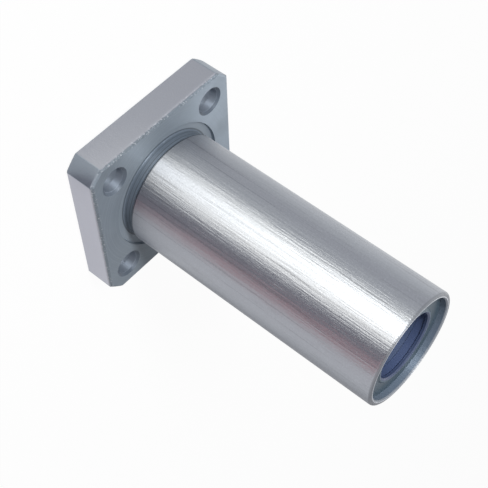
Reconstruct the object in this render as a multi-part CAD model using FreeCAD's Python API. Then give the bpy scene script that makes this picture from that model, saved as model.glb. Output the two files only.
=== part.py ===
import FreeCAD, Part
import math
import os

# Square flange linear ball bearing, long type, for a 12 mm shaft. Millimetres.
# The origin is the centre of the flange's outer face. +Z runs along the shaft, away from the flange.

# Shaft and sleeve
SHAFT_DIAMETER = 12.0
SLEEVE_DIAMETER = 21.0
SLEEVE_LENGTH = 57.0
SLEEVE_END_RADIUS = 0.5
MOUTH_CHAMFER = 0.2

# Flange: a round blank with its sides cut square, so the four corners stay round
FLANGE_SQUARE = 32.0
FLANGE_ROUND = 42.0
FLANGE_THICKNESS = 6.0
FLANGE_CHAMFER = 0.35
BOLT_CIRCLE = 32.0
BOLT_COUNT = 4
BOLT_HOLE = 4.5
BOLT_HOLE_CHAMFER = 0.45
COUNTERBORE = 7.5
COUNTERBORE_DEPTH = 4.1

# Recess turned in the mounting face round the sleeve, and the grinding undercut at the sleeve's root
FACE_RECESS_WIDTH = 1.6
FACE_RECESS_DEPTH = 0.6
FACE_RECESS_TAPER = 0.15
UNDERCUT_WIDTH = 2.1
UNDERCUT_DEPTH = 0.35
UNDERCUT_ROOT_RADIUS = 0.2

# Ball circuits: each is a flat racetrack of two straight rows and two half-turns.
# The balls are the largest stock size that leaves the wall named here outside the ring groove.
CIRCUITS = 4
BALLS_PER_TURN = 2
BALL_GAP = 0.1
STOCK_BALLS = (1.0, 1.2, 1.588, 2.0, 2.381, 2.778, 3.175, 3.969, 4.762)
LEAST_GROOVE_WALL = 0.6

# Retainers, spacer, retaining rings and seals
RETAINER_END_WALL = 1.3
COLLAR_THICKNESS = 1.15
LEAST_SPACER_LENGTH = 3.0
RING_THICKNESS = 1.0
RING_WIDTH = 1.5
RING_SEAT_DEPTH = 0.4
RING_GAP_ANGLE = 26.0
SEAL_SEAT_STEP = 0.13
SEAL_RECESS = 1.25
SEAL_WIDTH = 1.85
SEAL_CORE_SHEET = 0.3
SEAL_FACE_THICKNESS = 1.1
LIP_LAND = 0.4
LIP_RISE = 0.25
LIP_REACH = 0.85

# Clearances, each on one side
SHAFT_CLEARANCE = 0.02
RACEWAY_CLEARANCE = 0.05
TRACK_CLEARANCE = 0.12
RELIEF_CLEARANCE = 0.11
RETAINER_CLEARANCE = 0.1
RETAINER_BORE_CLEARANCE = 0.25
SPACER_BORE_CLEARANCE = 0.75
SEAL_FIT = 0.02
LIP_CLEARANCE = 0.05
RING_PLAY = 0.05
END_PLAY = 0.05


def turn_radius(ball):
    """Radius of the half-turns' middle line, with the named gap between the balls in a turn."""
    return (ball + BALL_GAP) / 2 / math.sin(math.pi / 2 / BALLS_PER_TURN)


def load_row_radius(ball):
    return SHAFT_DIAMETER / 2 + SHAFT_CLEARANCE + ball / 2


def relief_radius(ball):
    """Radius turned in the sleeve to clear the return row."""
    return_row = math.hypot(load_row_radius(ball), 2 * turn_radius(ball))
    return return_row + ball / 2 + RELIEF_CLEARANCE


def groove_radius(ball):
    """Radius of the retaining ring's groove, outside the seal seat, which the retainer passes through."""
    return relief_radius(ball) + SEAL_SEAT_STEP + RING_SEAT_DEPTH


def largest_ball():
    room = SLEEVE_DIAMETER / 2 - LEAST_GROOVE_WALL
    return max(ball for ball in STOCK_BALLS if groove_radius(ball) <= room)


# Worked out from the sizes above: balls and rows
SHAFT_R = SHAFT_DIAMETER / 2
SLEEVE_R = SLEEVE_DIAMETER / 2
BALL_DIAMETER = largest_ball()
BALL_R = BALL_DIAMETER / 2
TURN_RADIUS = turn_radius(BALL_DIAMETER)
RETURN_OFFSET = 2 * TURN_RADIUS
LOAD_ROW_R = load_row_radius(BALL_DIAMETER)
BALL_PITCH = math.pi * TURN_RADIUS / BALLS_PER_TURN
TRACK_R = BALL_R + TRACK_CLEARANCE

# Radii from the shaft outwards; each raceway land ends midway between its row and the return row
LAND_R = LOAD_ROW_R + BALL_R + RACEWAY_CLEARANCE
LAND_HALF_ANGLE = math.degrees(math.asin(TURN_RADIUS / LAND_R))
RELIEF_R = relief_radius(BALL_DIAMETER)
RETAINER_R = LAND_R - RETAINER_CLEARANCE
RETAINER_BORE_R = SHAFT_R + RETAINER_BORE_CLEARANCE
COLLAR_R = RELIEF_R - RETAINER_CLEARANCE
SPACER_BORE_R = SHAFT_R + SPACER_BORE_CLEARANCE
SEAL_SEAT_R = RELIEF_R + SEAL_SEAT_STEP
SEAL_R = SEAL_SEAT_R - SEAL_FIT
LIP_R = SHAFT_R + LIP_CLEARANCE
LIP_ROOT_R = LIP_R + LIP_REACH
SEAL_CORE_BORE_R = (LIP_ROOT_R + SEAL_R) / 2
SEAL_BORE_R = LIP_R + LIP_LAND / 2
RING_GROOVE_R = groove_radius(BALL_DIAMETER)
RING_R = RING_GROOVE_R - RING_PLAY
NOSE_R = RING_R - RING_WIDTH - RETAINER_CLEARANCE

# Heights from the flange end inwards; each row holds as many balls as the room beside the spacer allows
MIDDLE = SLEEVE_LENGTH / 2
THROUGH = SLEEVE_LENGTH + 2
SEAL_BACK = SEAL_RECESS + SEAL_WIDTH
RING_GROOVE_END = SEAL_BACK + RING_THICKNESS + 2 * RING_PLAY
RETAINER_START = RING_GROOVE_END + END_PLAY
NOSE_START = SEAL_BACK + END_PLAY
RETAINER_ROOM = MIDDLE - LEAST_SPACER_LENGTH / 2 - END_PLAY - RETAINER_START
TURN_ROOM = TURN_RADIUS + TRACK_R + RETAINER_END_WALL
BALLS_PER_ROW = math.floor((RETAINER_ROOM - 2 * TURN_ROOM) / BALL_PITCH)
ROW_LENGTH = BALLS_PER_ROW * BALL_PITCH
RETAINER_LENGTH = ROW_LENGTH + 2 * TURN_ROOM
CIRCUIT_MIDDLE = RETAINER_START + RETAINER_LENGTH / 2
RELIEF_END = CIRCUIT_MIDDLE + ROW_LENGTH / 2 + TURN_RADIUS + TRACK_R + RELIEF_CLEARANCE
SPACER_START = RETAINER_START + RETAINER_LENGTH + END_PLAY

Z_AXIS = FreeCAD.Vector(0, 0, 1)
X_AXIS = FreeCAD.Vector(1, 0, 0)
ORIGIN = FreeCAD.Vector(0, 0, 0)


def point(x, y, z):
    return FreeCAD.Vector(x, y, z)


def cylinder(radius, start, end, x=0.0, y=0.0):
    """Upright cylinder between two heights."""
    return Part.makeCylinder(radius, end - start, point(x, y, start), Z_AXIS)


def turned(profile):
    """Solid of revolution about the shaft's axis, from a closed outline of (radius, height) points."""
    corners = [point(radius, 0, height) for radius, height in profile]
    outline = Part.makePolygon(corners + corners[:1])
    return Part.Face(outline).revolve(ORIGIN, Z_AXIS, 360)


def turn_about_axis(shape, angle):
    copy = shape.copy()
    copy.rotate(ORIGIN, Z_AXIS, angle)
    return copy


def flip_end_for_end(shape):
    """The same piece at the free end: a half turn about a crosswise axis through the sleeve's middle."""
    copy = shape.copy()
    copy.rotate(point(0, 0, MIDDLE), X_AXIS, 180)
    return copy


def circuit_angles():
    return [index * 360 / CIRCUITS for index in range(CIRCUITS)]


def flange_plate():
    """Square plate and round blank, each with its edges broken, in common."""
    half = FLANGE_SQUARE / 2
    square = Part.makeBox(FLANGE_SQUARE, FLANGE_SQUARE, FLANGE_THICKNESS, point(-half, -half, 0))
    rim = [edge for edge in square.Edges if edge.BoundBox.ZLength < FLANGE_CHAMFER]
    square = square.makeChamfer(FLANGE_CHAMFER, rim)
    blank = turned([
        (0, 0),
        (FLANGE_ROUND / 2 - FLANGE_CHAMFER, 0),
        (FLANGE_ROUND / 2, FLANGE_CHAMFER),
        (FLANGE_ROUND / 2, FLANGE_THICKNESS - FLANGE_CHAMFER),
        (FLANGE_ROUND / 2 - FLANGE_CHAMFER, FLANGE_THICKNESS),
        (0, FLANGE_THICKNESS),
    ])
    return square.common(blank)


def face_recess_tool():
    """Shallow recess with a slightly tapered wall, turned in the mounting face round the sleeve."""
    floor = FLANGE_THICKNESS - FACE_RECESS_DEPTH
    recess_r = SLEEVE_R + FACE_RECESS_WIDTH
    return turned([
        (0, floor),
        (recess_r - FACE_RECESS_TAPER, floor),
        (recess_r, FLANGE_THICKNESS),
        (recess_r, FLANGE_THICKNESS + 1),
        (0, FLANGE_THICKNESS + 1),
    ])


def bolt_hole_tool():
    """Through hole with a counterbore in the outer face and a broken edge on the mounting face."""
    hole_r = BOLT_HOLE / 2
    hole = cylinder(hole_r, -1, FLANGE_THICKNESS + 1)
    head_seat = cylinder(COUNTERBORE / 2, -1, COUNTERBORE_DEPTH)
    edge = Part.makeCone(
        hole_r,
        hole_r + 2 * BOLT_HOLE_CHAMFER,
        2 * BOLT_HOLE_CHAMFER,
        point(0, 0, FLANGE_THICKNESS - BOLT_HOLE_CHAMFER),
        Z_AXIS,
    )
    return hole.fuse([head_seat, edge])


def bolt_hole_tools():
    first = bolt_hole_tool()
    first.translate(point(BOLT_CIRCLE / 2, 0, 0))
    step = 360 / BOLT_COUNT
    return [turn_about_axis(first, (index + 0.5) * step) for index in range(BOLT_COUNT)]


def sleeve_outside():
    """Ground outside of the sleeve, with the undercut at its root and a rounded edge at its free end."""
    floor = FLANGE_THICKNESS - FACE_RECESS_DEPTH
    undercut_top = floor + UNDERCUT_WIDTH
    body = turned([
        (0, 0),
        (SLEEVE_R - UNDERCUT_DEPTH, 0),
        (SLEEVE_R - UNDERCUT_DEPTH, undercut_top - UNDERCUT_DEPTH),
        (SLEEVE_R, undercut_top),
        (SLEEVE_R, SLEEVE_LENGTH),
        (0, SLEEVE_LENGTH),
    ])
    boxes = [(edge, edge.BoundBox) for edge in body.Edges]
    rim = [edge for edge, box in boxes if box.ZMin > MIDDLE and box.YLength > SLEEVE_R]
    return body.makeFillet(SLEEVE_END_RADIUS, rim)


def round_undercut_root(body):
    """Rounds the corner where the undercut meets the recess's floor."""
    floor = FLANGE_THICKNESS - FACE_RECESS_DEPTH
    root_width = 2 * (SLEEVE_R - UNDERCUT_DEPTH)
    rings = [(edge, edge.BoundBox) for edge in body.Edges if edge.BoundBox.ZLength < UNDERCUT_DEPTH]
    root = [
        edge for edge, box in rings
        if abs(box.ZMin - floor) < UNDERCUT_ROOT_RADIUS and abs(box.XLength - root_width) < UNDERCUT_DEPTH
    ]
    return body.makeFillet(UNDERCUT_ROOT_RADIUS, root)


def end_bore_tool():
    """Chamfered mouth, seal seat and retaining-ring groove at the flange end."""
    return turned([
        (0, -1),
        (SEAL_SEAT_R + MOUTH_CHAMFER + 1, -1),
        (SEAL_SEAT_R, MOUTH_CHAMFER),
        (SEAL_SEAT_R, SEAL_BACK),
        (RING_GROOVE_R, SEAL_BACK),
        (RING_GROOVE_R, RING_GROOVE_END),
        (0, RING_GROOVE_END),
    ])


def relief_tool():
    """Relief turned round a retainer, which leaves one raceway land standing at each loaded row."""
    relief = cylinder(RELIEF_R, RING_GROOVE_END, RELIEF_END)
    land = Part.makeCylinder(
        RELIEF_R + 1,
        ROW_LENGTH,
        point(0, 0, CIRCUIT_MIDDLE - ROW_LENGTH / 2),
        Z_AXIS,
        2 * LAND_HALF_ANGLE,
    )
    lands = [turn_about_axis(land, angle - LAND_HALF_ANGLE) for angle in circuit_angles()]
    return relief.cut(lands)


def flanged_sleeve():
    body = flange_plate().cut(face_recess_tool()).fuse(sleeve_outside())
    body = round_undercut_root(body)
    body = body.cut(bolt_hole_tools())
    body = body.cut(cylinder(LAND_R, -1, THROUGH))
    for tool in (end_bore_tool(), relief_tool()):
        body = body.cut([tool, flip_end_for_end(tool)])
    return body.removeSplitter()


def racetrack_outline(half_width):
    """Closed outline round the racetrack's middle line, in the circuit's plane."""
    low = CIRCUIT_MIDDLE - ROW_LENGTH / 2
    high = CIRCUIT_MIDDLE + ROW_LENGTH / 2
    left = TURN_RADIUS - half_width
    right = TURN_RADIUS + half_width

    def at(y, z):
        return point(LOAD_ROW_R, y, z)

    edges = [
        Part.makeLine(at(left, low), at(left, high)),
        Part.Arc(at(left, high), at(TURN_RADIUS, high + half_width), at(right, high)).toShape(),
        Part.makeLine(at(right, high), at(right, low)),
        Part.Arc(at(right, low), at(TURN_RADIUS, low - half_width), at(left, low)).toShape(),
    ]
    return Part.Wire(edges)


def track_tool():
    """Space swept by the balls of one circuit, open to the outside of the retainer."""
    low = CIRCUIT_MIDDLE - ROW_LENGTH / 2
    high = CIRCUIT_MIDDLE + ROW_LENGTH / 2
    rows = [cylinder(TRACK_R, low, high, LOAD_ROW_R, y) for y in (0, RETURN_OFFSET)]
    turns = []
    for height, sweep in ((high, -180), (low, 180)):
        ring = Part.makeCircle(TRACK_R, point(LOAD_ROW_R, 0, height), Z_AXIS)
        section = Part.Face(Part.Wire(ring))
        turns.append(section.revolve(point(LOAD_ROW_R, TURN_RADIUS, height), X_AXIS, sweep))
    outer = Part.Face(racetrack_outline(TURN_RADIUS + TRACK_R))
    island = Part.Face(racetrack_outline(TURN_RADIUS - TRACK_R))
    mouth = outer.cut(island).extrude(point(RELIEF_R, 0, 0))
    return rows[0].fuse(rows[1:] + turns + [mouth])


def retainer():
    """Moulded cage at the flange end: a nose inside the retaining ring, collar, guide tracks and bore."""
    end = RETAINER_START + RETAINER_LENGTH
    lead = RETAINER_BORE_CLEARANCE
    body = turned([
        (RETAINER_BORE_R, NOSE_START),
        (NOSE_R - lead, NOSE_START),
        (NOSE_R, NOSE_START + lead),
        (NOSE_R, RETAINER_START),
        (COLLAR_R - lead, RETAINER_START),
        (COLLAR_R, RETAINER_START + lead),
        (COLLAR_R, RETAINER_START + COLLAR_THICKNESS),
        (RETAINER_R, RETAINER_START + COLLAR_THICKNESS),
        (RETAINER_R, end),
        (RETAINER_BORE_R + lead, end),
        (RETAINER_BORE_R, end - lead),
    ])
    track = track_tool()
    return body.cut([turn_about_axis(track, angle) for angle in circuit_angles()])


def spacer():
    """Plain ring between the two retainers."""
    outside = cylinder(RETAINER_R, SPACER_START, SLEEVE_LENGTH - SPACER_START)
    inside = cylinder(SPACER_BORE_R, SPACER_START - 1, THROUGH)
    return outside.cut(inside)


def retaining_ring():
    """Open snap ring in its groove between the seal and the retainer's collar."""
    start = SEAL_BACK + RING_PLAY
    end = start + RING_THICKNESS
    ring = cylinder(RING_R, start, end).cut(cylinder(RING_R - RING_WIDTH, start - 1, end + 1))
    gap = Part.makeCylinder(RING_R + 1, RING_THICKNESS + 2, point(0, 0, start - 1), Z_AXIS, RING_GAP_ANGLE)
    return ring.cut(turn_about_axis(gap, 90 - RING_GAP_ANGLE / 2))


def seal_core():
    """Pressed steel ring behind the seal's face: a web with a short rim that grips the seat."""
    front = SEAL_RECESS + SEAL_FACE_THICKNESS
    return turned([
        (SEAL_CORE_BORE_R, front),
        (SEAL_R, front),
        (SEAL_R, SEAL_BACK),
        (SEAL_R - SEAL_CORE_SHEET, SEAL_BACK),
        (SEAL_R - SEAL_CORE_SHEET, front + SEAL_CORE_SHEET),
        (SEAL_CORE_BORE_R, front + SEAL_CORE_SHEET),
    ])


def seal_face():
    """Moulded rubber face with a raised lip that wipes the shaft, and a hub inside the core."""
    back = SEAL_RECESS + SEAL_FACE_THICKNESS
    hub_r = SEAL_CORE_BORE_R - SEAL_FIT
    return turned([
        (SEAL_R, SEAL_RECESS),
        (SEAL_R, back),
        (hub_r, back),
        (hub_r, SEAL_BACK),
        (SEAL_BORE_R, SEAL_BACK),
        (SEAL_BORE_R, SEAL_RECESS + LIP_LAND + LIP_LAND / 2),
        (LIP_R, SEAL_RECESS + LIP_LAND),
        (LIP_R, SEAL_RECESS),
        (LIP_R + LIP_RISE, SEAL_RECESS - LIP_RISE),
        (LIP_R + 2 * LIP_RISE, SEAL_RECESS - LIP_RISE),
        (LIP_ROOT_R, SEAL_RECESS),
    ])


def ball_row(offset):
    """One straight row of balls, centred along the circuit."""
    first = CIRCUIT_MIDDLE - (BALLS_PER_ROW - 1) / 2 * BALL_PITCH
    heights = [first + index * BALL_PITCH for index in range(BALLS_PER_ROW)]
    balls = [Part.makeSphere(BALL_R, point(LOAD_ROW_R, offset, height)) for height in heights]
    return Part.makeCompound(balls)


def ball_turn(side):
    """The balls in one half-turn: side is 1 at the end away from the flange and -1 at the near end."""
    middle = CIRCUIT_MIDDLE + side * ROW_LENGTH / 2
    balls = []
    for index in range(BALLS_PER_TURN):
        angle = math.pi * (index + 0.5) / BALLS_PER_TURN
        y = TURN_RADIUS - TURN_RADIUS * math.cos(angle)
        z = middle + side * TURN_RADIUS * math.sin(angle)
        balls.append(Part.makeSphere(BALL_R, point(LOAD_ROW_R, y, z)))
    return Part.makeCompound(balls)


def circuit_balls():
    """The four groups of balls of the first circuit, by the way each group travels."""
    return {
        "load": ball_row(0),
        "return": ball_row(RETURN_OFFSET),
        "turn_inner": ball_turn(1),
        "turn_outer": ball_turn(-1),
    }


def save(name, shape):
    if not shape.isValid():
        raise RuntimeError(name + " is not a valid shape")
    shape.exportStep(os.path.join("parts", name + ".step"))
    print(name, len(shape.Solids), round(shape.Volume, 3))


def main():
    os.makedirs("parts", exist_ok=True)
    save("flanged_sleeve", flanged_sleeve())
    save("spacer", spacer())
    ends = {
        "retainer": retainer(),
        "retaining_ring": retaining_ring(),
        "seal_core": seal_core(),
        "seal_face": seal_face(),
    }
    for name, shape in ends.items():
        save("flange_end_" + name, shape)
        save("free_end_" + name, flip_end_for_end(shape))
    groups = circuit_balls()
    for number, angle in enumerate(circuit_angles(), start=1):
        for group, balls in groups.items():
            placed = turn_about_axis(balls, angle)
            save("flange_end_balls_%d_%s" % (number, group), placed)
            save("free_end_balls_%d_%s" % (number, group), flip_end_for_end(placed))


main()
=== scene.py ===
import math
from types import SimpleNamespace

import bpy
from bpy.props import FloatProperty, FloatVectorProperty, IntProperty, PointerProperty
from mathutils import Matrix, Vector


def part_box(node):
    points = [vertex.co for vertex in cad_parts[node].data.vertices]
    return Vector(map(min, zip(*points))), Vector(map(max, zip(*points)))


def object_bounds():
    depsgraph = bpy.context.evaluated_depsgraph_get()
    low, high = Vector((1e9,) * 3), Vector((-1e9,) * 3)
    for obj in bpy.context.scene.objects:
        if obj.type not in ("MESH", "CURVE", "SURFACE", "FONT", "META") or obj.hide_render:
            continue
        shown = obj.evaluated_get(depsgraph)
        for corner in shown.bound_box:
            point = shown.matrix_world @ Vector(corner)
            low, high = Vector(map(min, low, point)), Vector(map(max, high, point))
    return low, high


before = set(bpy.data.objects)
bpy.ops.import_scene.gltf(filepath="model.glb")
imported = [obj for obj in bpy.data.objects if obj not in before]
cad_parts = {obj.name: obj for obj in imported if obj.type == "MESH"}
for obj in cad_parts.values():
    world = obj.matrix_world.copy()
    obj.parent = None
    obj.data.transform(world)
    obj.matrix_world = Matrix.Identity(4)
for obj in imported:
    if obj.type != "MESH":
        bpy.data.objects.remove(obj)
cad_low, cad_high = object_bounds()

bl_info = {
    "name": "Square Flange Linear Bearing Dressing",
    "version": (1, 0, 0),
    "blender": (4, 5, 0),
    "location": "View3D > Sidebar > Bearing",
    "description": "Finishes, stage, lamps and camera for a square flange linear bearing",
    "category": "Object",
}

MM = 0.001

# Places on the bearing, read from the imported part, in millimetres
SLEEVE_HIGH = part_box("flanged_sleeve")[1]
SEAL_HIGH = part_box("free_end_seal_face")[1]
FLANGE_HALF = SLEEVE_HIGH.x / MM
SLEEVE_END = SLEEVE_HIGH.z / MM
SEAL_FRONT = SEAL_HIGH.z / MM
SEAL_R = SEAL_HIGH.x / MM

# Sizes of its smaller forms, in millimetres. The web is the steel between the mounting face and
# the floor of the counterbores, and the lip slopes inwards from its own radius
BOLT_CIRCLE = 32.0
HOLE_R = 2.25
HOLE_RIM_R = 2.7
HOLE_PLACE = BOLT_CIRCLE / 2 / math.sqrt(2)
COUNTERBORE_R = 3.75
COUNTERBORE_WEB = 1.9
RECESS_R = 12.1
RECESS_DEPTH = 0.6
MOUTH_R = SEAL_R + 0.2
# Radius of a painted glint round the mouth
MOUTH_GLINT_R = SEAL_R + 0.34
LIP_SLOPE_R = 6.3
# Radius of a painted glint on the seal's lip
LIP_GLINT_R = 6.42

# A painted sheen makes the mounting face lighter from the axis to this far toward +X, in
# millimetres
PAINTED_SHEEN_REACH = 14.0

# Pairs of colours that a finish wanders between
SPRING_COLOURS = ((0.10, 0.10, 0.11), (0.16, 0.16, 0.17))
SHEET_COLOURS = ((0.42, 0.43, 0.45), (0.56, 0.57, 0.59))
BALL_COLOURS = ((0.58, 0.59, 0.61), (0.66, 0.67, 0.69))
WHITE = (1.0, 1.0, 1.0, 1.0)

# Turns are counted from 0 to 1 in a shader
QUARTER_TURN = 0.25

# The floor lies this far under the bearing, and a screen is folded every so many degrees
FLOOR_GAP = 0.2 * MM
SCREEN_FOLD = 6

# Screens round the bearing: first and last azimuth in degrees, distance of the near edge in
# metres, and colour
SCREENS = {
    "pale_grey_screen": (24, 50, 0.038, (0.86, 0.85, 0.88)),
    "bright_screen": (79, 115, 0.038, (2.8, 2.7, 2.42)),
    "soft_screen": (115, 133.5, 0.038, (2.95, 2.81, 2.56)),
    "dark_screen": (140.5, 171, 0.022, (0.38, 0.365, 0.41)),
    "brown_screen": (172, 185, 0.038, (0.91, 0.48, 0.50)),
    "white_screen": (190, 232, 0.038, (1.16, 1.13, 1.13)),
    "grey_screen": (248, 306, 0.030, (0.58, 0.58, 0.60)),
    "far_screen": (308, 367, 0.038, (1.16, 1.16, 1.16)),
}

# Lamps: azimuth and elevation in degrees, distance, width and height in metres, and the property
# that holds the power
LAMPS = {
    "key_lamp": (99, 40, 0.5, 0.08, 0.3, "key_power"),
    "overhead_lamp": (300, 75, 0.6, 0.5, 0.5, "fill_power"),
}

# The camera's sensor width in millimetres, and the nearest and farthest distance it shows, in
# metres
SENSOR_WIDTH = 36.0
CLIP_START = 0.01
CLIP_END = 20.0


class Value:
    """A number that varies over a surface, for use in Python expressions."""

    def __init__(self, look, socket):
        self.look = look
        self.socket = socket

    def maths(self, operation, *numbers):
        node = self.look.node("ShaderNodeMath", {"operation": operation}, dict(enumerate(numbers)))
        return Value(self.look, node.outputs[0])

    def __add__(self, other):
        return self.maths("ADD", self, other)

    def __radd__(self, other):
        return self.maths("ADD", other, self)

    def __sub__(self, other):
        return self.maths("SUBTRACT", self, other)

    def __rsub__(self, other):
        return self.maths("SUBTRACT", other, self)

    def __mul__(self, other):
        return self.maths("MULTIPLY", self, other)

    def __rmul__(self, other):
        return self.maths("MULTIPLY", other, self)

    def __truediv__(self, other):
        return self.maths("DIVIDE", self, other)

    def __rtruediv__(self, other):
        return self.maths("DIVIDE", other, self)

    def __pow__(self, other):
        return self.maths("POWER", self, other)

    def __rpow__(self, other):
        return self.maths("POWER", other, self)

    def __abs__(self):
        return self.maths("ABSOLUTE", self)

    def at_least(self, other):
        return self.maths("MAXIMUM", self, other)

    def at_most(self, other):
        return self.maths("MINIMUM", self, other)


class Look:
    """The nodes of one material or world."""

    def __init__(self, owner):
        owner.use_nodes = True
        self.owner = owner
        self.tree = owner.node_tree
        self.tree.nodes.clear()

    def feed(self, socket, value):
        """Links a value or a socket to a socket, or sets it to a plain number or colour."""
        if isinstance(value, Value):
            self.tree.links.new(value.socket, socket)
        elif isinstance(value, bpy.types.NodeSocket):
            self.tree.links.new(value, socket)
        else:
            socket.default_value = value

    def node(self, kind, settings=None, sockets=None):
        """A node of a given type: its settings come first, then its sockets are set or linked."""
        node = self.tree.nodes.new(kind)
        for name, value in (settings or {}).items():
            setattr(node, name, value)
        for name, value in (sockets or {}).items():
            self.feed(node.inputs[name], value)
        return node

    def value(self, kind, output, settings=None, sockets=None):
        """One output of a node, for use in expressions."""
        return Value(self, self.node(kind, settings, sockets).outputs[output])

    def place(self):
        """Where a point lies on the bearing, in millimetres: x, y and z."""
        point = self.node("ShaderNodeTexCoord").outputs["Object"]
        parts = self.node("ShaderNodeSeparateXYZ", sockets={"Vector": point})
        return [Value(self, parts.outputs[axis]) / MM for axis in "XYZ"]

    def at(self, x, y, z):
        """A place for a pattern, from three values or plain numbers."""
        return self.node("ShaderNodeCombineXYZ", sockets={"X": x, "Y": y, "Z": z}).outputs[0]

    def rise(self, value, start, end):
        """From 0 at the start to 1 at the end, smoothly."""
        sockets = {"Value": value, "From Min": start, "From Max": end}
        settings = {"interpolation_type": "SMOOTHSTEP"}
        return self.value("ShaderNodeMapRange", "Result", settings, sockets)

    def fall(self, value, start, end):
        """From 1 at the start to 0 at the end, smoothly."""
        return 1 - self.rise(value, start, end)

    def noise(self, where, scale=1.0, detail=2.0, roughness=0.5):
        """A cloudy pattern from 0 to 1 over a place."""
        sockets = {"Vector": where, "Scale": scale, "Detail": detail, "Roughness": roughness}
        return self.value("ShaderNodeTexNoise", "Fac", None, sockets)

    def blend(self, share, first, second):
        """Between two colours by a share."""
        node = self.node("ShaderNodeMix", {"data_type": "RGBA"}, {"Factor": share})
        # Fed by index, because its sockets for numbers, vectors and colours share their names
        self.feed(node.inputs[6], first)
        self.feed(node.inputs[7], second)
        return node.outputs[2]

    def layered(self, tone, layers):
        """A colour with others laid over it in turn, each by its share."""
        for share, colour in layers:
            tone = self.blend(share, tone, colour)
        return tone

    def bump(self, height, depth):
        """The surface's normal over a height from 0 to 1, with its full depth in millimetres."""
        sockets = {"Height": height, "Distance": depth * MM}
        return self.node("ShaderNodeBump", None, sockets).outputs["Normal"]

    def finish(self, kind, shader):
        """Links a shader to the output and gives back the finished material or world."""
        output = self.node(kind)
        self.tree.links.new(shader, output.inputs["Surface"])
        return self.owner

    def surface(self, sockets):
        """Finishes a material with one Principled shader."""
        shader = self.node("ShaderNodeBsdfPrincipled", None, sockets)
        return self.finish("ShaderNodeOutputMaterial", shader.outputs[0])


def new_look(name):
    """The empty look of a new material."""
    return Look(bpy.data.materials.new(name))


def opaque(colour):
    """A colour with the full alpha that sockets ask for."""
    return (*colour, 1.0)


def shade(colour, share):
    """A colour made lighter or darker by a plain share."""
    return opaque([channel * share for channel in colour])


def from_axis(x, y):
    """Distance from the bearing's axis."""
    return (x * x + y * y) ** 0.5


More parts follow.
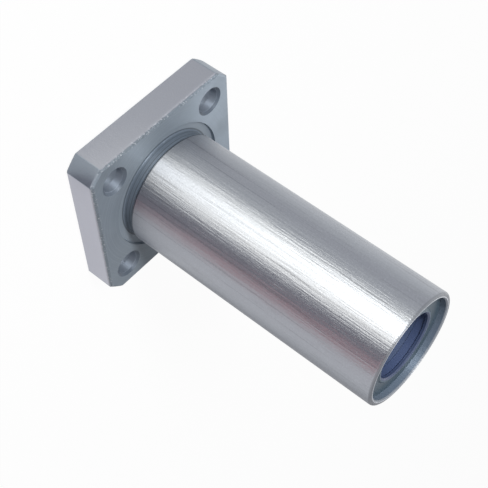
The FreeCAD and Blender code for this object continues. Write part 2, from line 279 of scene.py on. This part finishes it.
def sleeve_zones(look, steel, x, y, z):
    """Shares from 0 to 1 that tell the sleeve's surfaces apart by place, in millimetres.

    Each limit is soft: a share changes between the two numbers that follow its value.
    """
    top = steel.flange_top
    floor = top - RECESS_DEPTH
    web = top - COUNTERBORE_WEB
    ground = steel.ground_start
    outside = steel.sleeve_radius
    radius = from_axis(x, y)
    from_hole = ((abs(x) - HOLE_PLACE) ** 2.0 + (abs(y) - HOLE_PLACE) ** 2.0) ** 0.5

    flange = look.fall(z, top, top + 0.1)
    tube = look.rise(z, ground - 0.1, ground)
    inside = look.fall(radius, MOUTH_R, MOUTH_R + 0.06)
    corner = flange * look.rise(radius, steel.blank_radius - 0.15, steel.blank_radius - 0.05)
    across = look.rise(abs(x), FLANGE_HALF - 0.1, FLANGE_HALF - 0.02) * flange
    along = look.rise(abs(y), FLANGE_HALF - 0.1, FLANGE_HALF - 0.02) * flange

    # The undercut at the sleeve's root, the recess round it, its wall with painted shade, and a
    # line of painted shade in their corner
    root = (1 - tube) * look.rise(z, floor - 0.2, floor - 0.1)
    root = root * look.rise(radius, outside - 0.8, outside - 0.6)
    root = root * look.fall(radius, outside - 0.08, outside)
    recess = flange * look.fall(z, top - 0.1, top - 0.02)
    recess = recess * look.fall(radius, RECESS_R + 0.1, RECESS_R + 0.3)
    recess = recess * look.rise(radius, outside - 0.9, outside - 0.7)
    # The recess's wall is painted darker, as painted shade
    wall = recess * look.rise(z, floor + 0.02, floor + 0.1)
    wall = wall * look.rise(radius, RECESS_R - 0.4, RECESS_R - 0.25)
    # A thin line of painted shade in the corner between the undercut and the recess floor
    corner_shade_line = flange * look.fall(z, floor + 0.1, floor + 0.15)
    corner_shade_line = corner_shade_line * look.rise(z, floor - 0.1, floor - 0.05)
    corner_shade_line = corner_shade_line * look.rise(radius, outside - 0.12, outside - 0.06)
    corner_shade_line = corner_shade_line * look.fall(radius, outside + 0.1, outside + 0.2)

    # The bolt holes: broken edge and wall, and the counterbores behind them
    hole = flange * look.fall(from_hole, HOLE_RIM_R - 0.02, HOLE_RIM_R + 0.02)
    hole = hole * look.rise(z, web - 0.1, web)
    hole_wall = hole * look.fall(from_hole, HOLE_R + 0.01, HOLE_R + 0.05)
    counterbore = flange * look.fall(from_hole, COUNTERBORE_R + 0.05, COUNTERBORE_R + 0.15)
    counterbore = counterbore * look.fall(z, web - 0.1, web)
    face = flange * look.rise(z, floor - 0.1, floor) * (1 - wall) * (1 - root) * (1 - hole)

    # Painted shade where the grinding begins, on the rounded end and the seat; a painted glint at
    # the mouth
    tube_shade_line = tube * look.fall(z, ground + 0.22, ground + 0.3)
    shaded_end_round = look.rise(z, SLEEVE_END - 0.4, SLEEVE_END - 0.2) * (1 - inside)
    seat = inside * look.rise(z, SEAL_FRONT - 0.4, SEAL_FRONT - 0.3)
    mouth = inside * look.rise(z, SLEEVE_END - 0.25, SLEEVE_END - 0.2)
    mouth_glint = look.fall(radius, MOUTH_GLINT_R, MOUTH_GLINT_R + 0.08) * (1 - inside)
    mouth_glint = mouth_glint * look.rise(z, SLEEVE_END - 0.06, SLEEVE_END - 0.03)

    # The flange's broken edges, with painted shade, and the strips beside them where small light
    # and dark dents lie
    side = abs(x).at_least(abs(y))
    broken = flange * look.rise(z, top - 0.4, top - 0.34)
    broken = broken * look.rise(side, FLANGE_HALF - 0.4, FLANGE_HALF - 0.34)
    edge = flange * look.rise(z, top - 0.8, top - 0.3)
    edge = edge * look.rise(side, FLANGE_HALF - 0.8, FLANGE_HALF - 0.3)
    edge = edge * look.rise(look.noise(look.at(x, y, z), 0.35), 0.3, 0.55)
    dents = look.noise(look.at(x, y, z), 2.9, roughness=0.6)

    return SimpleNamespace(
        flange=flange,
        tube=tube,
        corner=corner,
        across=across,
        along=along,
        root=root,
        recess=recess,
        wall=wall,
        corner_shade_line=corner_shade_line,
        hole=hole,
        hole_wall=hole_wall,
        counterbore=counterbore,
        face=face,
        tube_shade_line=tube_shade_line,
        shaded_end_round=shaded_end_round,
        seat=seat,
        mouth=mouth,
        mouth_glint=mouth_glint,
        broken=broken,
        light_dents=look.rise(dents, 0.57, 0.65) * edge,
        dark_dents=look.fall(dents, 0.38, 0.46) * edge,
    )


def sleeve_grain(look, x, y, z):
    """The patterns of the ground sleeve and the turned flange, from 0 to 1, over millimetres."""
    scratches = look.noise(look.at(x * 2.2, y * 2.2, z * 0.02))
    grooves = look.noise(look.at(0.0, 0.0, z * 4.0), detail=1.0)
    return SimpleNamespace(
        lines=look.noise(look.at(x * 3.2, y * 3.2, z * 0.12), roughness=0.6),
        scratches=look.rise(scratches, 0.6, 0.66),
        hatch=look.noise(look.at(x * 1.3, y * 1.3, z * 5.0), roughness=0.6),
        speckle=look.noise(look.at(x, y, z), 3.6, detail=3.0, roughness=0.7),
        patches=look.noise(look.at(x, y, z * 0.5), 0.25, detail=3.0, roughness=0.6),
        turned=look.noise(look.at(from_axis(x, y) * 3.5, z, 0.0), detail=3.0, roughness=0.7),
        cloud=look.noise(look.at(x, y, z), 0.16, detail=3.0),
        grooves=look.rise(grooves, 0.5, 0.6),
    )


def sleeve_tone(look, steel, zone, grain, x):
    """The sleeve's colour: one layer over another, from the broad surfaces to the worn edges; some
    are painted light and shade.
    """
    flange = zone.flange
    tube = zone.tube
    # Painted sheen: the flange is painted lighter toward +X
    painted_sheen = look.rise(x, 0.0, PAINTED_SHEEN_REACH)
    # Dark colour for the turned rings in the undercut and for lines of painted shade
    ring_and_shade_colour = shade(steel.undercut_and_shade_colour, 0.4)
    tone = look.blend(tube, opaque(steel.flange_colour), opaque(steel.sleeve_colour))
    return look.layered(tone, (
        (flange * painted_sheen, shade(steel.flange_colour, 1.7)),
        (flange * (grain.cloud - 0.3), shade(steel.flange_colour, 0.7)),
        (flange * look.rise(grain.turned, 0.45, 0.65) * 0.35, shade(steel.flange_colour, 1.3)),
        # Painted light: lit and shaded copies of the milled sides' steel
        (zone.along, opaque(steel.shaded_long_side_colour)),
        (zone.across, opaque(steel.lit_short_side_colour)),
        (zone.recess, opaque(steel.recess_colour)),
        # Painted shade on the recess's wall
        (zone.wall, shade(steel.undercut_and_shade_colour, 1.25)),
        # The undercut: partly its own darker finish, partly painted shade
        (zone.root, opaque(steel.undercut_and_shade_colour)),
        # Turned rings in the undercut, and a line of painted shade in its corner
        (zone.root * grain.grooves * 0.55 + zone.corner_shade_line * 0.7, ring_and_shade_colour),
        (tube * look.rise(grain.lines, 0.55, 0.7) * 0.3, shade(steel.sleeve_colour, 0.7)),
        (tube * grain.scratches * 0.4, shade(steel.sleeve_colour, 0.55)),
        (tube * look.rise(grain.speckle, 0.45, 0.7) * 0.4, shade(steel.sleeve_colour, 1.3)),
        # A line of painted shade where the tube meets the undercut
        (zone.tube_shade_line * 0.7, ring_and_shade_colour),
        (zone.corner, opaque(steel.corner_colour)),
        # Painted shade on the sleeve's rounded end
        (zone.shaded_end_round, shade(steel.sleeve_colour, 0.75)),
        (zone.counterbore, opaque(steel.counterbore_colour)),
        # Painted shade on the bolt holes' broken edges
        (zone.hole, opaque(steel.shaded_hole_rim_colour)),
        (zone.hole_wall, opaque(steel.hole_colour)),
        # Painted shade and painted reflection on the seal's seat
        (zone.seat, opaque(steel.shaded_seat_colour)),
        (zone.mouth, opaque(steel.rim_colour)),
        # Painted shade on the flange's broken edges, and dark dents from wear
        (zone.broken * 0.4 + zone.dark_dents * 0.3, shade(steel.flange_colour, 0.5)),
        # Worn light dents on the flange, and a painted glint round the mouth
        (zone.light_dents * 0.4 + zone.mouth_glint, opaque(steel.worn_and_glint_colour)),
    ))


def ground_sleeve_steel(steel):
    """Ground sleeve, turned mounting face, milled sides, an undercut partly in painted shade, by
    place.
    """
    look = new_look("ground_sleeve_steel")
    x, y, z = look.place()
    zone = sleeve_zones(look, steel, x, y, z)
    grain = sleeve_grain(look, x, y, z)
    hole_rim = zone.hole - zone.hole_wall
    matt = zone.face + hole_rim + zone.hole_wall * 0.6 + zone.seat + zone.root + zone.wall * 0.8
    rough = steel.roughness + (grain.patches - 0.5) * 0.08 + (grain.speckle - 0.5) * 0.05
    specks = grain.speckle * 0.25
    ground = grain.lines * 0.45 + grain.hatch * 0.12 + specks
    turned = grain.turned * 0.25 + specks
    return look.surface({
        "Base Color": sleeve_tone(look, steel, zone, grain, x),
        "Metallic": 1 - matt.at_most(1.0) * steel.face_mattness,
        "Roughness": rough + zone.hole_wall * 0.3,
        "Specular IOR Level": 0.25,
        "Anisotropic": steel.grinding,
        "Anisotropic Rotation": QUARTER_TURN,
        "Normal": look.bump(zone.tube * ground + (1 - zone.tube) * turned, steel.grain_depth),
    })


def plain_metal(look, pattern, colours, roughness, depth):
    """Finishes a metal whose colour and relief follow one pattern."""
    dark, light = colours
    return look.surface({
        "Base Color": look.blend(pattern, opaque(dark), opaque(light)),
        "Metallic": 1.0,
        "Roughness": roughness,
        "Normal": look.bump(pattern, depth),
    })


def spring_steel():
    """Blackened spring steel of the retaining rings."""
    look = new_look("spring_steel")
    patches = look.noise(look.at(*look.place()), 1.5, detail=3.0, roughness=0.6)
    return plain_metal(look, patches, SPRING_COLOURS, 0.32 + patches * 0.12, 0.01)


def pressed_steel():
    """Bright pressed sheet of the seal cores."""
    look = new_look("pressed_sheet")
    x, y, z = look.place()
    drawn = look.noise(look.at(from_axis(x, y) * 5.0, 0.0, z * 5.0), detail=3.0, roughness=0.6)
    return plain_metal(look, drawn, SHEET_COLOURS, 0.25 + drawn * 0.1, 0.002)


def ball_steel():
    """Polished and hardened balls with the odd faint handling mark."""
    look = new_look("polished_balls")
    marks = look.noise(look.at(*look.place()), 3.0, detail=4.0, roughness=0.7)
    rough = 0.06 + look.rise(marks, 0.55, 0.8) * 0.12
    return plain_metal(look, marks, BALL_COLOURS, rough, 0.0006)


def retainer_resin(seals):
    """Matt moulded resin with a fine moulded grain."""
    look = new_look("moulded_resin")
    x, y, z = look.place()
    grain = look.noise(look.at(x, y, z), 6.0, detail=4.0, roughness=0.6)
    flow = look.noise(look.at(x, y, z * 0.3), 0.6)
    tone = look.blend(flow, opaque(seals.resin_colour), shade(seals.resin_colour, 1.35))
    return look.surface({
        "Base Color": tone,
        "Roughness": 0.45 + grain * 0.15,
        "Normal": look.bump(grain, 0.01),
    })


def seal_rubber(seals):
    """Smooth moulded rubber, a lip darker by painted shade with a painted glint, faint mould
    rings, a little dust.
    """
    look = new_look("seal_rubber")
    x, y, z = look.place()
    radius = from_axis(x, y)
    rings = look.noise(look.at(radius * 7.0, 0.0, 0.0))
    dust = look.rise(look.noise(look.at(x, y, z), 4.0, detail=4.0, roughness=0.7), 0.55, 0.8)
    inner = look.fall(radius, LIP_SLOPE_R, LIP_SLOPE_R + 0.15)
    # Painted shade on the lip's bevel inside the bore
    lip = inner * look.rise(z, SEAL_FRONT - 0.6, SEAL_FRONT - 0.5)
    lip_glint = look.rise(radius, LIP_GLINT_R, LIP_GLINT_R + 0.04)
    lip_glint = lip_glint * look.fall(radius, LIP_GLINT_R + 0.08, LIP_GLINT_R + 0.14)
    tone = look.layered(opaque(seals.rubber_colour), (
        (dust * 0.5, shade(seals.rubber_colour, 1.8)),
        (inner, opaque(seals.bore_colour)),
        # Painted shade on the lip
        (lip, shade(seals.bore_colour, 0.7)),
        # Painted glint round the lip
        (lip_glint * 0.4, shade(seals.rubber_colour, 3.5)),
    ))
    return look.surface({
        "Base Color": tone,
        "Roughness": seals.rubber_roughness + dust * 0.15,
        "Normal": look.bump(rings * 0.5 + dust * 0.5, 0.012),
    })


def dress(names, material):
    """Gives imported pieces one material, in place of those that they came with."""
    for name in names:
        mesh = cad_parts[name].data
        mesh.materials.clear()
        mesh.materials.append(material)


def node_names(word):
    """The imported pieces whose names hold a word."""
    return [name for name in sorted(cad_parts) if word in name]


def seen_directly(look):
    """1 for rays from the camera and from glossy or clear surfaces, 0 for the rest."""
    path = look.node("ShaderNodeLightPath").outputs
    seen = Value(look, path["Is Camera Ray"]) + Value(look, path["Is Glossy Ray"])
    seen = seen + Value(look, path["Is Transmission Ray"])
    return seen.at_most(1.0)


def lit_white(colour, share):
    """White by its own glow in part, so that the bearing's shadow still shows on it."""
    look = new_look("floor_white")
    matt = look.node("ShaderNodeBsdfDiffuse", None, {"Color": opaque(colour)}).outputs[0]
    glow = look.node("ShaderNodeEmission", None, {"Color": WHITE, "Strength": 1.0}).outputs[0]
    sockets = {0: seen_directly(look) * share, 1: matt, 2: glow}
    mixed = look.node("ShaderNodeMixShader", None, sockets).outputs[0]
    return look.finish("ShaderNodeOutputMaterial", mixed)


def plain_glow(name, colour):
    """A material that shows one colour by its own glow."""
    look = new_look(name)
    glow = look.node("ShaderNodeEmission", None, {"Color": opaque(colour), "Strength": 1.0})
    return look.finish("ShaderNodeOutputMaterial", glow.outputs[0])


def sheet(name, corners, faces, material):
    """A flat or folded sheet, such as the floor or a screen."""
    mesh = bpy.data.meshes.new(name)
    mesh.from_pydata(corners, [], faces)
    mesh.materials.append(material)
    piece = bpy.data.objects.new(name, mesh)
    bpy.context.scene.collection.objects.link(piece)
    return piece


def around(azimuth, distance, height):
    """A place round the axis: azimuth in degrees from +X, distance and height in metres."""
    turn = math.radians(azimuth)
    return Vector((distance * math.cos(turn), distance * math.sin(turn), height))


def add_screen(name, first, last, start, colour, stage):
    """A folded card between two azimuths, lying and then standing, seen in the steel only."""
    steps = max(1, round((last - first) / SCREEN_FOLD))
    corners = []
    for index in range(steps + 1):
        azimuth = first + (last - first) * index / steps
        corners.append(around(azimuth, start, 0))
        corners.append(around(azimuth, stage.screen_reach, 0))
        corners.append(around(azimuth, stage.screen_reach, stage.screen_height))
    faces = []
    for index in range(steps):
        for row in (0, 1):
            corner = 3 * index + row
            faces.append((corner, corner + 3, corner + 4, corner + 1))
    screen = sheet(name, corners, faces, plain_glow(name, colour))
    screen.visible_camera = False
    screen.visible_diffuse = False
    screen.visible_shadow = False


def add_lamp(name, azimuth, elevation, distance, width, height, power):
    """A rectangular lamp that points at the middle of the bearing and doesn't show."""
    lamp = bpy.data.lights.new(name, "AREA")
    lamp.shape = "RECTANGLE"
    lamp.size = width
    lamp.size_y = height
    lamp.energy = power
    piece = bpy.data.objects.new(name, lamp)
    rise = math.radians(elevation)
    piece.location = around(azimuth, distance * math.cos(rise), distance * math.sin(rise))
    aim = Vector((0, 0, SLEEVE_END * MM / 2)) - piece.location
    piece.rotation_euler = aim.to_track_quat("-Z", "Y").to_euler()
    piece.visible_camera = False
    bpy.context.scene.collection.objects.link(piece)


class BearingSteel(bpy.types.PropertyGroup):
    sleeve_colour: FloatVectorProperty(
        name="Sleeve", description="Colour of the ground sleeve", subtype="COLOR",
        size=3, min=0, max=1, default=(0.322, 0.342, 0.378),
    )
    flange_colour: FloatVectorProperty(
        name="Flange", description="Colour of the flange's turned faces", subtype="COLOR",
        size=3, min=0, max=1, default=(0.225, 0.265, 0.31),
    )
    # Painted light: the sides along X get a darker, shaded copy and the sides along Y a lighter,
    # lit copy of one steel
    shaded_long_side_colour: FloatVectorProperty(
        name="Sides along X", description="Colour of the milled sides that run along X",
        subtype="COLOR", size=3, min=0, max=1, default=(0.34, 0.355, 0.40),
    )
    lit_short_side_colour: FloatVectorProperty(
        name="Sides along Y", description="Colour of the milled sides that run along Y",
        subtype="COLOR", size=3, min=0, max=1, default=(0.44, 0.45, 0.51),
    )
    corner_colour: FloatVectorProperty(
        name="Corners", description="Colour of the turned corners of the flange", subtype="COLOR",
        size=3, min=0, max=1, default=(0.28, 0.32, 0.37),
    )
    recess_colour: FloatVectorProperty(
        name="Recess", description="Colour of the recess round the sleeve", subtype="COLOR",
        size=3, min=0, max=1, default=(0.265, 0.31, 0.36),
    )
    # The undercut's dark colour is partly its own unground finish and partly painted shade in the
    # groove
    undercut_and_shade_colour: FloatVectorProperty(
        name="Undercut", description="Colour of the undercut at the sleeve's root",
        subtype="COLOR", size=3, min=0, max=1, default=(0.155, 0.19, 0.235),
    )
    hole_colour: FloatVectorProperty(
        name="Holes", description="Colour of the walls of the bolt holes", subtype="COLOR",
        size=3, min=0, max=1, default=(0.25, 0.29, 0.35),
    )
    # The bolt holes' broken edges are painted darker, as painted shade
    shaded_hole_rim_colour: FloatVectorProperty(
        name="Hole rims", description="Colour of the broken edges of the bolt holes",
        subtype="COLOR", size=3, min=0, max=1, default=(0.115, 0.14, 0.175),
    )
    counterbore_colour: FloatVectorProperty(
        name="Counterbores", description="Colour of the counterbores behind the bolt holes",
        subtype="COLOR", size=3, min=0, max=1, default=(0.26, 0.30, 0.36),
    )
    # The seat's dark teal is painted shade and a painted reflection of the seal
    shaded_seat_colour: FloatVectorProperty(
        name="Seal seat", description="Colour of the seat above the seal", subtype="COLOR",
        size=3, min=0, max=1, default=(0.155, 0.20, 0.265),
    )
    rim_colour: FloatVectorProperty(
        name="Mouth", description="Colour of the broken edge of the mouth", subtype="COLOR",
        size=3, min=0, max=1, default=(0.24, 0.265, 0.305),
    )
    # Bright colour of worn dents and of the painted glint round the mouth
    worn_and_glint_colour: FloatVectorProperty(
        name="Worn edges", description="Colour of bright edges", subtype="COLOR",
        size=3, min=0, max=1, default=(0.72, 0.75, 0.80),
    )
    face_mattness: FloatProperty(
        name="Mattness", description="How matt the mounting face, undercut, holes and seat are",
        default=0.8, min=0, max=1,
    )
    roughness: FloatProperty(
        name="Roughness", description="Roughness of the ground finish", default=0.42, min=0, max=1,
    )
    grinding: FloatProperty(
        name="Grinding", description="How far the grinding marks stretch reflections",
        default=0.85, min=0, max=1,
    )
    grain_depth: FloatProperty(
        name="Grain depth", description="Depth of the grinding grain, in millimetres",
        default=0.09, min=0,
    )
    sleeve_radius: FloatProperty(
        name="Sleeve radius", description="Outside radius of the sleeve, in millimetres",
        default=10.5,
    )
    blank_radius: FloatProperty(
        name="Blank radius", description="Radius of the flange's turned corners, in millimetres",
        default=21.0,
    )
    flange_top: FloatProperty(
        name="Flange top", description="Height of the mounting face, in millimetres", default=6.0,
    )
    ground_start: FloatProperty(
        name="Ground start", description="Height where the ground outside begins, in millimetres",
        default=7.4,
    )


class BearingSeals(bpy.types.PropertyGroup):
    rubber_colour: FloatVectorProperty(
        name="Rubber", description="Colour of the seals' rubber", subtype="COLOR",
        size=3, min=0, max=1, default=(0.052, 0.082, 0.110),
    )
    rubber_roughness: FloatProperty(
        name="Rubber roughness", description="Roughness of the seals' rubber",
        default=0.35, min=0, max=1,
    )
    bore_colour: FloatVectorProperty(
        name="Bore", description="Colour of the rubber inside the lip", subtype="COLOR",
        size=3, min=0, max=1, default=(0.07, 0.10, 0.20),
    )
    resin_colour: FloatVectorProperty(
        name="Resin", description="Colour of the retainers and spacer", subtype="COLOR",
        size=3, min=0, max=1, default=(0.058, 0.085, 0.16),
    )


class BearingStage(bpy.types.PropertyGroup):
    floor_size: FloatProperty(
        name="Floor", description="Side of the floor", default=6.0, unit="LENGTH",
    )
    floor_colour: FloatVectorProperty(
        name="Floor colour", description="Colour of the plain floor", subtype="COLOR",
        size=3, min=0, max=1, default=(0.9, 0.9, 0.9),
    )
    floor_glow: FloatProperty(
        name="Floor glow", description="Share of the floor's white that is its own glow",
        default=0.96, min=0, max=1,
    )
    key_power: FloatProperty(
        name="Key lamp", description="Power of the key lamp", default=2.3, unit="POWER",
    )
    fill_power: FloatProperty(
        name="Fill lamp", description="Power of the overhead lamp", default=0.15, unit="POWER",
    )
    matt_light: FloatProperty(
        name="Light on matt surfaces", description="Strength of the white room on matt surfaces",
        default=0.15, min=0, max=1,
    )
    screen_reach: FloatProperty(
        name="Screens stand", description="Distance from the axis where the screens stand up",
        default=0.16, unit="LENGTH",
    )
    screen_height: FloatProperty(
        name="Screen height", description="Height of the standing screens",
        default=0.3, unit="LENGTH",
    )


class BearingCamera(bpy.types.PropertyGroup):
    place: FloatVectorProperty(
        name="Place", description="Where the camera stands", subtype="TRANSLATION", size=3,
        unit="LENGTH", default=(-0.083294, 0.152471, 0.098528),
    )
    right: FloatVectorProperty(
        name="Right", description="The picture's right-hand direction", subtype="DIRECTION",
        size=3, default=(0.65344984, -0.0174607, 0.75676842),
    )
    down: FloatVectorProperty(
        name="Down", description="The picture's downward direction", subtype="DIRECTION",
        size=3, default=(-0.61921429, -0.58737066, 0.52112319),
    )
    focal_pixels: FloatProperty(
        name="Focal length in pixels", description="Focal length, in pixels of the square picture",
        default=1145.18,
    )
    picture_side: IntProperty(
        name="Picture side", description="Side of the square picture in pixels", default=488,
    )


class BEARING_OT_dress_sleeve(bpy.types.Operator):
    """Finish the flanged sleeve as ground and turned steel"""

    bl_idname = "bearing.dress_sleeve"
    bl_label = "Dress the flanged sleeve"

    def execute(self, context):
        dress(["flanged_sleeve"], ground_sleeve_steel(context.scene.bearing_steel))
        return {"FINISHED"}


class BEARING_OT_dress_rings(bpy.types.Operator):
    """Finish the retaining rings and the seals' pressed cores"""

    bl_idname = "bearing.dress_rings"
    bl_label = "Dress the rings and seal cores"

    def execute(self, context):
        dress(node_names("retaining_ring"), spring_steel())
        dress(node_names("seal_core"), pressed_steel())
        return {"FINISHED"}


class BEARING_OT_dress_balls(bpy.types.Operator):
    """Finish the balls of every circuit"""

    bl_idname = "bearing.dress_balls"
    bl_label = "Dress the balls"

    def execute(self, context):
        dress(node_names("_balls_"), ball_steel())
        return {"FINISHED"}


class BEARING_OT_dress_retainers(bpy.types.Operator):
    """Finish the moulded retainers and the spacer"""

    bl_idname = "bearing.dress_retainers"
    bl_label = "Dress the retainers and spacer"

    def execute(self, context):
        dress(node_names("retainer") + ["spacer"], retainer_resin(context.scene.bearing_seals))
        return {"FINISHED"}


class BEARING_OT_dress_seals(bpy.types.Operator):
    """Finish the rubber faces of the two seals"""

    bl_idname = "bearing.dress_seals"
    bl_label = "Dress the seals"

    def execute(self, context):
        dress(node_names("seal_face"), seal_rubber(context.scene.bearing_seals))
        return {"FINISHED"}


class BEARING_OT_set_stage(bpy.types.Operator):
    """Lay the floor, stand the screens and lamps, and set the world"""

    bl_idname = "bearing.set_stage"
    bl_label = "Set the stage"

    def execute(self, context):
        stage = context.scene.bearing_stage
        half = stage.floor_size / 2
        level = cad_low.z - FLOOR_GAP
        corners = [(x * half, y * half, level) for x, y in ((-1, -1), (1, -1), (1, 1), (-1, 1))]
        sheet("floor", corners, [(0, 1, 2, 3)], lit_white(stage.floor_colour, stage.floor_glow))
        for name, (first, last, start, colour) in SCREENS.items():
            add_screen(name, first, last, start, colour, stage)
        for name, (azimuth, elevation, distance, width, height, power) in LAMPS.items():
            add_lamp(name, azimuth, elevation, distance, width, height, getattr(stage, power))
        room = Look(bpy.data.worlds.new("white_room"))
        strength = stage.matt_light + seen_directly(room) * (1 - stage.matt_light)
        white = room.node("ShaderNodeBackground", None, {"Color": WHITE, "Strength": strength})
        context.scene.world = room.finish("ShaderNodeOutputWorld", white.outputs[0])
        context.scene.view_settings.view_transform = "Standard"
        return {"FINISHED"}


class BEARING_OT_place_camera(bpy.types.Operator):
    """Stand the camera where the picture was taken from"""

    bl_idname = "bearing.place_camera"
    bl_label = "Place the camera"

    def execute(self, context):
        view = context.scene.bearing_camera
        data = bpy.data.cameras.new("camera")
        data.sensor_width = SENSOR_WIDTH
        data.lens = view.focal_pixels / view.picture_side * SENSOR_WIDTH
        data.clip_start = CLIP_START
        data.clip_end = CLIP_END
        camera = bpy.data.objects.new("camera", data)
        right = Vector(view.right).normalized()
        up = -Vector(view.down)
        up = (up - right * up.dot(right)).normalized()
        turn = Matrix((right, up, right.cross(up))).transposed().to_4x4()
        camera.matrix_world = Matrix.Translation(view.place) @ turn
        context.scene.collection.objects.link(camera)
        context.scene.camera = camera
        return {"FINISHED"}


class BEARING_PT_panel(bpy.types.Panel):
    """Lists the steps that finish the bearing"""

    bl_label = "Linear bearing"
    bl_idname = "BEARING_PT_panel"
    bl_space_type = "VIEW_3D"
    bl_region_type = "UI"
    bl_category = "Bearing"

    def draw(self, context):
        for step in STEPS:
            self.layout.operator(step.bl_idname)


STEPS = (
    BEARING_OT_dress_sleeve,
    BEARING_OT_dress_rings,
    BEARING_OT_dress_balls,
    BEARING_OT_dress_retainers,
    BEARING_OT_dress_seals,
    BEARING_OT_set_stage,
    BEARING_OT_place_camera,
)
GROUPS = {
    "bearing_steel": BearingSteel,
    "bearing_seals": BearingSeals,
    "bearing_stage": BearingStage,
    "bearing_camera": BearingCamera,
}
CLASSES = (*GROUPS.values(), *STEPS, BEARING_PT_panel)


def register():
    for part in CLASSES:
        bpy.utils.register_class(part)
    for name, group in GROUPS.items():
        setattr(bpy.types.Scene, name, PointerProperty(type=group))


def unregister():
    for name in GROUPS:
        delattr(bpy.types.Scene, name)
    for part in reversed(CLASSES):
        bpy.utils.unregister_class(part)


def main():
    register()
    bpy.ops.bearing.dress_sleeve()
    bpy.ops.bearing.dress_rings()
    bpy.ops.bearing.dress_balls()
    bpy.ops.bearing.dress_retainers()
    bpy.ops.bearing.dress_seals()
    bpy.ops.bearing.set_stage()
    bpy.ops.bearing.place_camera()


if __name__ == "__main__":
    main()
